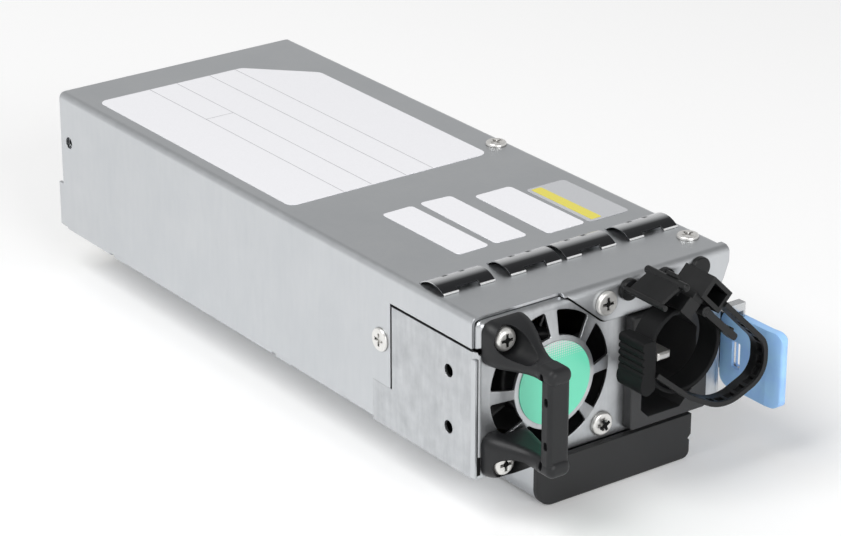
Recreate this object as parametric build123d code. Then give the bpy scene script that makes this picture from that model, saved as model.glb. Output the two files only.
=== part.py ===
# Hot swap power supply module: a flat steel case with a fan, a mains inlet, a pull handle,
# a side latch and a cord clamp on its front. Millimetres, +X right, +Y rearwards, +Z up.
# The origin is on the front panel's outer face, at mid width, level with the underside of the keel.

from build123d import *
from math import atan2, cos, degrees, hypot, radians, sin, sqrt
import os

os.makedirs("parts", exist_ok=True)

# Case
case_width = 76.9
case_length = 190.4
case_height = 41.2
keel_height = 12.1
sheet = 0.8
bend_radius = 1.8
sheet_gap = 0.1
running_gap = 0.3
cover_front = 1.5
return_width = 7.0
pan_depth = 5.0
rear_tab_length = 2.2
rear_tab_drop = 27.0

# Left wall: the front panel's tongue, its slot and the bottom notches
tongue_top_drop = 8.4
tongue_length = 33.3
hook_drop = 30.2
hook_length = 41.2
slot_width = 0.7
relief_radius = 0.9
side_hole_radius = 1.65
side_hole_back = 10.4
side_hole_drops = (16.5, 31.2)
rear_hole_back = 186.2
rear_hole_drop = 13.7
side_screw_back = 37.9
side_screw_drop = 18.6
notch_starts = (77.2, 157.5)
notch_length = 9.8
notch_height = 1.4

# Front flange of the cover
flange_drop = 10.0
flange_left_top = 25.8
flange_left_low = 38.0
flange_right_low = 74.6
flange_corner_drop = 4.0
flange_round = 3.0

# Fan and grille
fan_from_left = 22.1
fan_from_top = 21.1
fan_size = 38.0
fan_depth = 28.0
fan_flange = 4.0
fan_edge = 0.8
screw_pitch = 32.0
duct_radius = 18.1
blade_gap = 0.6
blade_count = 7
blade_thickness = 0.9
blade_chord = 13.0
rotor_hub_radius = 10.4
rotor_front = 5.0
rotor_length = 16.0
rotor_wall = 1.0
shaft_radius = 1.0
bearing_gap = 0.04
bearing_radius = 2.4
cup_radius = 10.8
cup_wall = 1.6
strut_width = 2.6
grille_radius = 17.8
hub_disc_radius = 11.9
hub_emboss = 1.8
spoke_count = 8
spoke_width_hub = 1.8
spoke_width_rim = 3.8
window_round = 0.6
sticker_radius = 10.6
sticker_thickness = 0.25

# Screws
panel_screw_head_radius = 3.1
panel_screw_head_height = 1.1
panel_screw_radius = 1.45
panel_screw_length = 7.0
handle_screw_head_radius = 2.95
handle_screw_head_height = 2.0
cover_screw_head_radius = 2.75
cover_screw_head_height = 0.9
cover_screw_radius = 1.2
cover_screw_length = 3.6
cover_screw_places = ((72.2, 9.4), (72.85, 87.5))
side_screw_head_radius = 3.0
cross_width = 0.8
cross_reach = 1.7
hole_gap = 0.05

# Handle
handle_seat = 2.2
handle_clear = 2.4
handle_reach = 20.7
grip_reach = 20.0
grip_depth = 3.6
grip_left = 6.0
grip_right = 12.6
grip_half_height = 13.9
arm_height = 4.3
arm_straight = 15.5
pad_left = 1.75
pad_right = 14.9
pad_outer = 20.2
pad_inner = 8.7
pad_round = 3.0
screw_access_radius = 3.6
screw_access_depth = 9.0
dimple_radius = 0.65
dimple_depth = 1.0

# Mains inlet
inlet_left = 45.0
inlet_right = 69.2
inlet_top_drop = 10.4
inlet_low_drop = 40.3
inlet_flange_height = 3.0
inlet_body_margin = 1.1
inlet_body_depth = 18.0
inlet_corner_radius = 1.0
recess_width = 17.0
recess_height = 24.9
recess_depth = 18.0
recess_small_cut = 2.3
recess_large_cut = 4.7
blade_width = 4.0
blade_height = 2.0
blade_tip = 1.0
blade_back = 22.0
blade_spread = 14.0
earth_offset = 4.0
blade_line_offset = -1.95

# Push rivets on the flange
rivet_places = (44.8, 55.9, 67.0)
rivet_drop = 3.1
rivet_head_radius = 2.75
rivet_head_height = 1.4
rivet_shank_radius = 1.3
rivet_shank_length = 5.0

# Skirt and keel
keel_left = 17.5
keel_right = 64.5
keel_corner_radius = 5.0
keel_flange_width = 5.0
keel_end_gap = 2.4
skirt_front = 2.6
skirt_thickness = 1.9
skirt_overhang = 0.4
skirt_right_radius = 2.2
skirt_gap = 0.1
skirt_plug_depth = 6.0
skirt_plug_wall = 1.5
notch_drop = 5.6
notch_depth = 0.7

# Latch on the right wall
latch_pad_gap = 2.7
latch_pad_thickness = 2.2
latch_pad_front = 17.6
latch_pad_back = 4.2
latch_pad_top_drop = 19.2
latch_pad_low_drop = 39.4
latch_pad_round = 3.2
latch_nose_round = 0.9
latch_flare_length = 5.0
latch_flare = 0.8
latch_slot_front = 3.2
latch_slot_back = 0.2
latch_slot_top_drop = 26.3
latch_slot_low_drop = 33.4
leaf_thickness = 0.6
leaf_top_drop = 20.5
leaf_low_drop = 36.0
leaf_pivot_back = 34.0
leaf_bend_back = 11.0
leaf_front = 6.0
leaf_foot_end = 58.0
leaf_foot_gap = 0.6
catch_back = 17.0
catch_length = 3.6
catch_height = 1.4
tab_top_drop = 15.9
tab_front = 2.9
tab_back = 0.5
tab_reach = 3.8
window_front = 5.0
window_back = 36.0
window_margin = 1.2
latch_rivet_radius = 1.6
latch_rivet_places = (41.0, 52.0)
latch_rivet_head = 2.6
latch_rivet_head_height = 0.8

# Cord clamp on the front
rail_front = 17.0
rail_web_front = 15.0
rail_web_back = 3.6
rail_bar_back = 1.9
rail_slot_x = 42.8
rail_slot_drop = 2.1
rail_bar_x = 49.5
rail_bar_rise = 1.3
rail_bar_radius = 1.0
rail_edge_radius = 0.7
rail_thickness = 0.9
head_front = 16.0
head_back = 5.4
head_block_x = 51.4
head_block_drop = 4.6
head_block_size = 4.2
box_x = 59.7
box_drop = 3.35
box_width = 8.0
box_height = 6.0
box_wall = 1.15
bridge_x = 54.2
bridge_drop = 3.9
bridge_width = 3.6
bridge_height = 3.4
shoe_back = 8.8
shoe_length = 3.4
shoe_wall = 0.9
shoe_gap = 0.1
shoe_lip = 0.3
shoe_mouth = 156.0
collar_x = 52.3
collar_drop = 16.3
collar_radius = 10.2
collar_wall = 1.2
collar_front = 13.5
collar_back = 7.0
strap_corners = ((61.0, 5.0), (75.9, 19.9), (75.9, 28.6), (63.2, 33.9), (52.0, 28.0), (41.6, 19.4))
strap_bends = (6.0, 6.5, 12.0, 14.0)
strap_thickness = 1.3
strap_width = 5.0
strap_front = 16.5
strap_rung_start = 12.0
strap_rung_edge = 0.7
strap_rung_width = 1.9
strap_rung_pitch = 3.4
strap_rung_count = 11
strap_rung_length = 2.3
strap_rung_depth = 0.6
thumb_left = 37.2
thumb_right = 41.2
thumb_top_drop = 10.2
thumb_low_drop = 23.4
thumb_round = 0.9
thumb_curl = 2.2
thumb_ridge_start = 2.4
thumb_ridge_width = 1.1
thumb_front = 16.0
thumb_back = 7.0
thumb_ridge_pitch = 1.8
thumb_ridge_count = 4
arm_pin_along = 4.2
arm_length = 13.0
arm_thickness = 1.8
arm_width = 2.2
arm_angle = -44.0
arm_pin_radius = 0.7
arm_pin_gap = 0.05
arm_eye_radius = 1.3
arm_tip_radius = 0.5
lug_length = 3.0

# Spring clips on the top
clip_lefts = (2.4, 22.4, 39.4, 59.0)
clip_width = 15.4
clip_front = 15.6
clip_back = 25.4
clip_rise = 1.9
clip_thickness = 0.3
clip_foot_width = 4.6
clip_foot_length = 1.4
clip_slot_width = 1.5
clip_slot_length = 1.1
clip_hook_depth = 1.8
clip_hook_width = 4.0

# Inside
board_thickness = 1.6
board_margin = 2.4
board_front = 33.0
board_back = 187.4
film_thickness = 0.3
standoff_height = 3.2
standoff_radius = 2.6
standoff_places = ((8.0, 62.0), (68.9, 66.0), (8.0, 176.0), (68.9, 176.0))
board_screw_radius = 1.25
board_screw_head_radius = 2.6
board_screw_head_height = 1.8
board_screw_length = 4.0
tongue_left = 14.0
tongue_right = 63.0
board_tongue_back = 198.0
contact_count = 12
contact_width = 2.6
contact_pitch = 3.9
contact_length = 8.0
contact_thickness = 0.15
rear_hole_size = 1.7
rear_hole_pitch = 4.4
rear_hole_rows = 4
rear_hole_columns = 14
rear_hole_row_drop = 7.5
bulk_radius = 11.0
bulk_height = 30.0
bulk_places = ((22.0, 50.0), (22.0, 74.0))
core_width = 30.0
core_depth = 26.0
core_height = 26.0
core_leg = 6.0
core_centre_radius = 5.5
core_x = 38.0
core_y = 122.0
winding_radius = 9.5
sink_left = 5.0
sink_right = 70.0
sink_thickness = 2.0
sink_height = 28.0
sink_fin_length = 2.2
sink_fin_thickness = 0.9
sink_fin_pitch = 4.0
sink_fin_count = 5
primary_sink_span = (66.0, 112.0)
secondary_sink_span = (98.0, 160.0)
transistor_width = 10.0
transistor_height = 15.0
transistor_thickness = 4.4
transistor_lift = 6.0
choke_x = 54.0
choke_y = 84.0
choke_radius = 8.0
choke_hole_radius = 4.0
choke_height = 12.0
choke_wire_gap = 0.35
choke_turns = 10
choke_wire_radius = 0.8
filter_places = ((46.0, 40.0), (56.0, 62.0))
filter_length = 16.0
filter_depth = 8.0
filter_height = 14.0
fuse_x = 70.0
fuse_y = 46.0
fuse_radius = 2.6
fuse_length = 18.0
fuse_cap_length = 4.0
fuse_cap_radius = 3.0
output_radius = 4.0
output_height = 15.0
output_pitch = 9.4
output_rows = 2
output_columns = 4
output_x = 26.0
output_y = 168.0
control_x = 16.0
control_span = (126.0, 162.0)
control_height = 24.0
control_thickness = 1.2

# Places worked out from the sizes above
left = -case_width / 2
right = case_width / 2
case_low = keel_height
case_top = keel_height + case_height
inner_left = left + sheet
inner_right = right - sheet
floor_top = case_low + sheet
roof_low = case_top - sheet
flange_face = -sheet
fan_x = left + fan_from_left
fan_z = case_top - fan_from_top
pan_left = inner_left + sheet_gap
pan_right = inner_right - sheet_gap
pan_top = roof_low - sheet_gap
inner_bend = bend_radius - sheet
board_low = floor_top + film_thickness + standoff_height
board_top = board_low + board_thickness
board_left = left + board_margin
board_right = right - board_margin
big = 200.0


def across(distance):
    # place of something measured from the left wall
    return left + distance


def down(distance):
    # height of something measured from the top
    return case_top - distance


def block(x, y, z):
    # a plain block between two limits along each axis
    middle = Pos((x[0] + x[1]) / 2, (y[0] + y[1]) / 2, (z[0] + z[1]) / 2)
    return middle * Box(x[1] - x[0], y[1] - y[0], z[1] - z[0])


def panel_sheet(width, low, high):
    # a rectangle seen from the front, between two limits along x and z
    return Pos((width[0] + width[1]) / 2, (low + high) / 2) * Rectangle(width[1] - width[0], high - low)


def along_y(outline, front, back):
    # an outline seen from the front (x, z), pushed from y = front to y = back
    return extrude(Plane.XZ.offset(-back) * outline, back - front)


def along_x(outline, start, end):
    # an outline seen from the right (y, z), pushed from x = start to x = end
    return extrude(Plane.YZ.offset(start) * outline, end - start)


def along_z(outline, low, high):
    # an outline seen from above (x, y), pushed from z = low to z = high
    return extrude(Plane.XY.offset(low) * outline, high - low)


def shape(points):
    # a flat face with straight sides through the points
    return make_face(Polyline(*points, close=True))


def rod_y(x, z, radius, front, back):
    return along_y(Pos(x, z) * Circle(radius), front, back)


def rod_z(x, y, radius, low, high):
    return along_z(Pos(x, y) * Circle(radius), low, high)


def rod_x(y, z, radius, start, end):
    return along_x(Pos(y, z) * Circle(radius), start, end)


def cross_recess(depth):
    # the cross slot of a screw head, open towards +Z, with its mouth at z = 0
    bar = Box(2 * cross_reach, cross_width, 2 * depth)
    other = Box(cross_width, 2 * cross_reach, 2 * depth)
    return bar + other + Cone(0.2, cross_width, depth, align=(Align.CENTER, Align.CENTER, Align.MAX))


def pan_screw(head_radius, head_height, radius, length):
    # a cross-slot screw standing along Z, its seat at z = 0 and its head above
    head = Cylinder(head_radius, head_height, align=(Align.CENTER, Align.CENTER, Align.MIN))
    head = fillet(head.edges().group_by(Axis.Z)[-1], head_height * 0.6)
    shank = Pos(0, 0, -length) * Cylinder(radius, length, align=(Align.CENTER, Align.CENTER, Align.MIN))
    return head + shank - Pos(0, 0, head_height) * cross_recess(head_height * 0.7)


# Facing the front: a piece modelled along Z with its head up is turned to face -Y
to_front = Rot(90, 0, 0)
to_left = Rot(0, -90, 0)


def at_front(x, y, z):
    return Pos(x, y, z) * to_front


def fan_corner(side, level):
    return fan_x + side * screw_pitch / 2, fan_z + level * screw_pitch / 2


# Cover


def tongue_outline(gap):
    # the part of the left wall (y, z) that belongs to the front panel, grown by a gap
    top = down(tongue_top_drop) + gap
    low = case_low - 1
    hook = down(hook_drop)
    return shape(
        [
            (-5, top),
            (tongue_length + gap, top),
            (tongue_length + gap, hook),
            (hook_length, hook),
            (hook_length, low),
            (-5, low),
        ]
    )


def cover():
    outer = panel_sheet((left, right), case_low, case_top)
    outer = fillet(outer.vertices(), bend_radius)
    inner = offset(outer, -sheet)
    open_base = panel_sheet((left + return_width, right - return_width), case_low - 1, case_low + 2 * sheet)
    shell = along_y(outer - inner - open_base, cover_front, case_length + rear_tab_length)

    # the rear edge: the upper part ends earlier than the lower one
    tab_top = down(rear_tab_drop)
    rear_trim = block((left - 1, right + 1), (case_length, big * 2), (tab_top, case_top + 1))
    shell -= rear_trim
    shell -= block((-big, big), (case_length - 1, big * 2), (case_low - 1, case_low + notch_height))

    # the roof runs on over the front panel and turns down as the flange
    flange_low = down(flange_drop)
    outline = shape(
        [
            (across(flange_left_top), case_top),
            (across(flange_left_low), flange_low),
            (across(flange_right_low), flange_low),
            (right, down(flange_corner_drop)),
            (right, case_top),
        ]
    )
    outline = fillet(outline.vertices().group_by(Axis.Y)[0], flange_round)
    flange = along_y(outline, flange_face, 0)
    roof = block((across(flange_left_top), right), (flange_face, cover_front + sheet), (roof_low, case_top))
    bent = roof + flange
    bent = fillet(bent.edges().filter_by(Axis.X).group_by(Axis.Y)[0].sort_by(Axis.Z)[-1:], bend_radius)
    bent = fillet(bent.edges().filter_by(Axis.Y).sort_by(Axis.X)[-1:], bend_radius)
    shell += bent

    # the tongue of the front panel lies in the left wall
    cut = along_x(tongue_outline(slot_width), left - 1, left + return_width + 1)
    shell -= cut
    shell -= rod_x(side_screw_back, down(side_screw_drop), panel_screw_radius + hole_gap, left - 1, inner_left + 1)
    shell -= rod_x(rear_hole_back, down(rear_hole_drop), side_hole_radius, left - 1, right + 1)

    # notches in both bottom returns
    for start in notch_starts:
        notch = panel_sheet((start, start + notch_length), case_low - 5, case_low + notch_height)
        notch = fillet(notch.vertices().group_by(Axis.Y)[-1], notch_height * 0.9)
        shell -= along_x(notch, left - 1, left + return_width + 1)
        shell -= along_x(notch, right - return_width - 1, right + 1)

    # window in the right wall for the latch leaf, and the holes of its rivets
    window = panel_sheet(
        (window_front, window_back),
        down(leaf_low_drop + window_margin),
        down(leaf_top_drop - window_margin),
    )
    shell -= along_x(fillet(window.vertices(), 1.5), inner_right - 1, right + 1)
    for place in latch_rivet_places:
        shell -= rod_x(place, latch_mid, latch_rivet_radius + hole_gap, inner_right - 1, right + 1)

    # holes for the screws, the rivets and the spring clips
    for x, y in cover_screw_places:
        shell -= rod_z(across(x), y, cover_screw_radius + hole_gap, roof_low - 1, case_top + 1)
    for x in rivet_places:
        shell -= rod_y(across(x), down(rivet_drop), rivet_shank_radius + hole_gap, flange_face - 1, sheet + 1)
    x, z = fan_corner(1, 1)
    shell -= rod_y(x, z, panel_screw_radius + hole_gap, flange_face - 1, 1)
    for start in clip_lefts:
        for side in (0, 1):
            x0 = across(start) + side * (clip_width - clip_hook_width)
            hook_hole = ((x0 - hole_gap, x0 + clip_hook_width + hole_gap), (clip_back - 0.8, clip_back + hole_gap))
            shell -= block(*hook_hole, (roof_low - 1, case_top + 1))
    return shell


latch_mid = down((leaf_top_drop + leaf_low_drop) / 2)


# Front panel with its pressed grille


def grille_dish():
    # the hub disc stands forward of the panel, joined to it by sloping spokes
    profile = shape(
        [
            (0, -hub_emboss),
            (hub_disc_radius, -hub_emboss),
            (grille_radius, 0),
            (grille_radius, sheet),
            (hub_disc_radius, sheet - hub_emboss),
            (0, sheet - hub_emboss),
        ]
    )
    return revolve(profile, Axis.Y)


def grille_windows():
    ring = Circle(grille_radius) - Circle(hub_disc_radius)
    spoke = shape(
        [
            (hub_disc_radius - 2, -spoke_width_hub / 2),
            (grille_radius + 1, -spoke_width_rim / 2),
            (grille_radius + 1, spoke_width_rim / 2),
            (hub_disc_radius - 2, spoke_width_hub / 2),
        ]
    )
    for turn in range(spoke_count):
        ring -= Rot(0, 0, turn * 360 / spoke_count) * spoke
    return fillet(ring.vertices(), window_round)


def front_panel():
    pan = block((pan_left, pan_right), (0, pan_depth), (case_low, pan_top))
    top_corners = pan.edges().filter_by(Axis.Y).group_by(Axis.Z)[-1]
    upright = pan.edges().filter_by(Axis.Z).group_by(Axis.Y)[0]
    top_edge = pan.edges().filter_by(Axis.X).group_by(Axis.Y)[0].sort_by(Axis.Z)[-1:]
    pan = fillet(upright + top_edge + top_corners, bend_radius)
    inner = block((pan_left + sheet, pan_right - sheet), (sheet, big), (case_low - 1, pan_top - sheet))
    top_corners = inner.edges().filter_by(Axis.Y).group_by(Axis.Z)[-1]
    upright = inner.edges().filter_by(Axis.Z).group_by(Axis.Y)[0]
    top_edge = inner.edges().filter_by(Axis.X).group_by(Axis.Y)[0].sort_by(Axis.Z)[-1:]
    pan -= fillet(upright + top_edge + top_corners, inner_bend)

    # below the slot the left side is the tongue that lies in the wall
    slot_level = down(tongue_top_drop)
    pan -= block((left - 1, pan_left + bend_radius + sheet), (-1, big), (case_low - 1, slot_level + slot_width))
    bend = block((left, pan_left + bend_radius + 2 * sheet), (0, hook_length), (case_low, slot_level))
    bend = fillet(bend.edges().filter_by(Axis.Z).group_by(Axis.X)[0].sort_by(Axis.Y)[:1], bend_radius)
    hollow = block((inner_left, big), (sheet, big), (case_low - 1, slot_level + 1))
    hollow = fillet(hollow.edges().filter_by(Axis.Z).group_by(Axis.X)[0].sort_by(Axis.Y)[:1], inner_bend)
    bend -= hollow
    bend -= along_x(
        panel_sheet((tongue_length, big), down(hook_drop), case_top), left - 1, left + return_width
    )
    pan += bend
    pan -= block((pan_left - 1, pan_left + bend_radius), (-1, big), (slot_level, slot_level + slot_width))
    pan -= rod_y(pan_left + relief_radius, slot_level, relief_radius, -1, 2 * relief_radius + sheet)

    # at the lower right the side flange stays clear of the cover's bend
    pan -= block((pan_right - bend_radius - sheet, big), (cover_front, big), (case_low - 1, floor_top + bend_radius))

    # fan grille
    pan -= rod_y(fan_x, fan_z, grille_radius, -1, sheet + 1)
    windows = along_y(grille_windows(), -hub_emboss - 1, sheet + 1)
    pan += Pos(fan_x, 0, fan_z) * (grille_dish() - windows)

    # openings and holes
    body_left = across(inlet_left) + inlet_body_margin - sheet_gap
    body_right = across(inlet_right) - inlet_body_margin + sheet_gap
    body_low = down(inlet_low_drop) + inlet_body_margin - sheet_gap
    body_top = down(inlet_top_drop) - inlet_body_margin + sheet_gap
    opening = fillet(panel_sheet((body_left, body_right), body_low, body_top).vertices(), inlet_corner_radius)
    pan -= along_y(opening, -1, sheet + 1)
    for side in (-1, 1):
        for level in (-1, 1):
            x, z = fan_corner(side, level)
            pan -= rod_y(x, z, panel_screw_radius + hole_gap, -1, sheet + 1)
    for x in rivet_places:
        pan -= rod_y(across(x), down(rivet_drop), rivet_shank_radius + hole_gap, -1, sheet + 1)
    for drop in side_hole_drops:
        pan -= rod_x(side_hole_back, down(drop), side_hole_radius, left - 1, inner_left + 1)
    return pan


# Base, keel and skirt


def base_tray():
    gap = sheet_gap
    plate_left = left + return_width + gap
    plate_right = right - return_width - gap
    tray = block((plate_left, plate_right), (sheet, case_length), (case_low, floor_top))
    # beside the tongue the tray reaches the wall
    tray += block((inner_left + gap, plate_left + 1), (sheet + bend_radius, hook_length - gap), (case_low, floor_top))
    # side ears stand up in the notches, against the walls
    for start in notch_starts:
        span = (start + notch_height, start + notch_length - notch_height)
        for side in (-1, 1):
            wall = side * (inner_right - gap)
            foot = sorted((wall, side * (plate_right - 1)))
            ear = sorted((wall, wall - side * sheet))
            tray += block(foot, span, (case_low, floor_top))
            tray += block(ear, span, (case_low, floor_top + 9 * sheet))
    return tray


def keel_section(grow):
    section = panel_sheet((across(keel_left) - grow, across(keel_right) + grow), -grow, case_low)
    return fillet(section.vertices().group_by(Axis.Y)[0], keel_corner_radius + grow)


def keel_trough():
    back = case_length - keel_end_gap
    front = skirt_thickness - skirt_front
    trough = along_y(keel_section(0), front, back)
    trough -= along_y(keel_section(-sheet) + panel_sheet((across(keel_left) + sheet, across(keel_right) - sheet),
                                                         keel_corner_radius, case_low + 1), front - 1, back - sheet)
    for side in (keel_left - keel_flange_width, keel_right - sheet):
        reach = (across(side), across(side) + keel_flange_width + sheet)
        trough += block(reach, (pan_depth, back), (case_low - sheet, case_low))
    return trough


def skirt():
    low = 0
    outline = panel_sheet((across(keel_left) - skirt_overhang, across(keel_right) + skirt_overhang), low, case_low)
    corners = outline.vertices().group_by(Axis.Y)[0].sort_by(Axis.X)
    outline = fillet(corners[0], keel_corner_radius)
    outline = fillet(outline.vertices().group_by(Axis.X)[-1].sort_by(Axis.Y)[0], skirt_right_radius)
    edge = across(keel_right) + skirt_overhang
    nick = Pos(edge, notch_drop) * Rot(0, 0, 45) * Rectangle(notch_depth * 2, notch_depth * 2)
    plate = along_y(outline - nick, -skirt_front, skirt_thickness - skirt_front)
    plate = fillet(plate.edges().filter_by(Axis.Z).group_by(Axis.Y)[0].sort_by(Axis.X)[0], 0.8)
    plug = along_y(keel_section(-sheet - skirt_gap), skirt_thickness - skirt_front, skirt_plug_depth)
    plug -= along_y(keel_section(-sheet - skirt_gap - skirt_plug_wall), skirt_thickness - skirt_front, big)
    plug -= block((-big, big), (-big, big), (case_low - skirt_plug_wall - skirt_gap * 2, big))
    return plate + plug


def rear_panel():
    # a plate with a turned-in edge all round, inside the cover's rear end
    face = case_length - sheet
    depth = 5 * sheet
    gap = sheet_gap
    pan = block((inner_left + gap, inner_right - gap), (case_length - depth, case_length), (floor_top, roof_low - gap))
    pan = fillet(pan.edges().filter_by(Axis.Y), bend_radius)
    inner = block(
        (inner_left + gap + sheet, inner_right - gap - sheet),
        (case_length - depth - 1, face),
        (floor_top + sheet, roof_low - gap - sheet),
    )
    pan -= fillet(inner.edges().filter_by(Axis.Y), inner_bend)
    # slot for the board's contact tongue
    slot = ((across(tongue_left) - 1, across(tongue_right) + 1), (case_length - depth - 1, case_length + 1))
    pan -= block(*slot, (board_low - 1, board_top + 1))
    pan -= block(
        (board_left - 1, board_right + 1), (case_length - depth - 1, face - sheet), (floor_top - 1, board_top + 1)
    )
    # staggered air holes
    hexagon = RegularPolygon(rear_hole_size, 6)
    for row in range(rear_hole_rows):
        shift = rear_hole_pitch / 2 * (row % 2)
        z = down(rear_hole_row_drop) - row * rear_hole_pitch * sqrt(3) / 2
        for column in range(rear_hole_columns):
            x = (column - (rear_hole_columns - 1) / 2) * rear_hole_pitch + shift - rear_hole_pitch / 4
            pan -= along_y(Pos(x, z) * hexagon, case_length - 2 * sheet, case_length + 1)
    for side in (-1, 1):
        wall = side * inner_right
        pan -= rod_x(rear_hole_back, down(rear_hole_drop), side_hole_radius - 0.3, wall - 2, wall + 2)
    return pan


# Mains inlet


def inlet_outline(grow):
    return panel_sheet(
        (across(inlet_left) - grow, across(inlet_right) + grow),
        down(inlet_low_drop) - grow,
        down(inlet_top_drop) + grow,
    )


inlet_x = across((inlet_left + inlet_right) / 2) - 0.4
inlet_z = down((inlet_top_drop + inlet_low_drop) / 2)


def recess_outline(grow):
    half_w = recess_width / 2 + grow
    half_h = recess_height / 2 + grow
    small = recess_small_cut
    large = recess_large_cut
    return Pos(inlet_x, inlet_z) * shape(
        [
            (-half_w + small, -half_h),
            (half_w - large, -half_h),
            (half_w, -half_h + large),
            (half_w, half_h - large),
            (half_w - large, half_h),
            (-half_w + small, half_h),
            (-half_w, half_h - small),
            (-half_w, -half_h + small),
        ]
    )


def inlet_blade_places():
    line_x = inlet_x + blade_line_offset
    return (
        (line_x, inlet_z + blade_spread / 2),
        (line_x, inlet_z - blade_spread / 2),
        (line_x + earth_offset, inlet_z),
    )


def inlet_housing():
    flange = along_y(fillet(inlet_outline(0).vertices(), inlet_corner_radius), -inlet_flange_height, 0)
    flange = fillet(flange.edges().group_by(Axis.Y)[0], 0.5)
    body = along_y(fillet(inlet_outline(-inlet_body_margin).vertices(), inlet_corner_radius), 0, inlet_body_depth)
    back = recess_depth - inlet_flange_height
    housing = flange + body
    housing -= along_y(recess_outline(0), -inlet_flange_height - 1, back)
    for x, z in inlet_blade_places():
        slot = Pos(x, z) * Rectangle(blade_width + hole_gap * 2, blade_height + hole_gap * 2)
        housing -= along_y(slot, back - 1, inlet_body_depth + 1)
    return housing


def inlet_pins():
    blades = []
    for x, z in inlet_blade_places():
        blade = along_y(Pos(x, z) * Rectangle(blade_width, blade_height), blade_tip, blade_back)
        blades.append(chamfer(blade.edges().group_by(Axis.Y)[0], 0.5))
    return blades


# Push rivets


def push_rivets():
    rivets = []
    for x in rivet_places:
        head = Cylinder(rivet_head_radius, rivet_head_height, align=(Align.CENTER, Align.CENTER, Align.MIN))
        head = fillet(head.edges().group_by(Axis.Z)[-1], 0.35)
        rivet_length = rivet_shank_length
        shank = Pos(0, 0, -rivet_length) * Cylinder(
            rivet_shank_radius, rivet_length, align=(Align.CENTER, Align.CENTER, Align.MIN)
        )
        tip = Pos(0, 0, -rivet_length) * Cone(
            rivet_shank_radius * 0.5, rivet_shank_radius, 1.0, align=(Align.CENTER, Align.CENTER, Align.MAX)
        )
        rivets.append(at_front(across(x), flange_face, down(rivet_drop)) * (head + shank + tip))
    return rivets


# Fan


def fan_frame():
    front = sheet
    back = front + fan_depth
    square = fillet(Rectangle(fan_size, fan_size).vertices(), 2.5)
    body = along_y(Pos(fan_x, fan_z) * square, front, back)
    body = chamfer(body.edges().group_by(Axis.Y)[0], fan_edge)
    # between the two end flanges the corners are scooped away
    scoop = Circle(duct_radius + 1.0) + Rectangle(fan_size, 6.0) + Rectangle(6.0, fan_size)
    waist = along_y(Pos(fan_x, fan_z) * Rectangle(fan_size + 2, fan_size + 2), front + fan_flange, back - fan_flange)
    waist -= along_y(Pos(fan_x, fan_z) * scoop, front + fan_flange, back - fan_flange)
    body -= waist
    body -= rod_y(fan_x, fan_z, duct_radius, front - 1, back + 1)
    # rear motor cup on four struts
    cup_front = back - cup_wall
    body += rod_y(fan_x, fan_z, cup_radius, cup_front, back)
    strut = Rectangle(2 * duct_radius + 1, strut_width)
    for turn in (45, 135):
        body += along_y(Pos(fan_x, fan_z) * Rot(0, 0, turn) * strut, back - cup_wall * 1.5, back)
    # tube that holds the bearing
    tube_front = rotor_front + 3 * rotor_wall
    body += rod_y(fan_x, fan_z, bearing_radius + 1.0, tube_front, back)
    body -= rod_y(fan_x, fan_z, bearing_radius, tube_front - 1, back - 0.8)
    for side in (-1, 1):
        for level in (-1, 1):
            x, z = fan_corner(side, level)
            body -= rod_y(x, z, panel_screw_radius + hole_gap, front - 1, back + 1)
    return body


def fan_bearing():
    front = rotor_front + 3 * rotor_wall
    back = sheet + fan_depth - 0.8
    sleeve = rod_y(fan_x, fan_z, bearing_radius, front, back)
    return sleeve - rod_y(fan_x, fan_z, shaft_radius + bearing_gap, front - 1, back + 1)


def fan_stator():
    # four wound poles round the bearing tube
    front = rotor_front + 5 * rotor_wall
    back = rotor_front + rotor_length - 2 * rotor_wall
    inner = bearing_radius + 1.0
    outer = rotor_hub_radius - rotor_wall - 1.0
    poles = Circle(inner + 1.2)
    for turn in range(4):
        neck = Rot(0, 0, 90 * turn) * Pos(outer / 2, 0) * Rectangle(outer, 2.0)
        coil = Rot(0, 0, 90 * turn) * Pos((inner + outer) / 2, 0) * Rectangle(2.2, 4.6)
        poles += neck + coil
    shoes = Circle(outer) - Circle(outer - 1.1)
    for turn in range(4):
        shoes -= Rot(0, 0, 90 * turn + 45) * Pos(outer, 0) * Rectangle(4, 2.4)
    outline = (poles + shoes) - Circle(inner)
    return along_y(Pos(fan_x, fan_z) * outline, front, back)


def fan_shaft():
    front = rotor_front
    back = sheet + fan_depth - 1.6
    return rod_y(fan_x, fan_z, shaft_radius, front, back)


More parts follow.
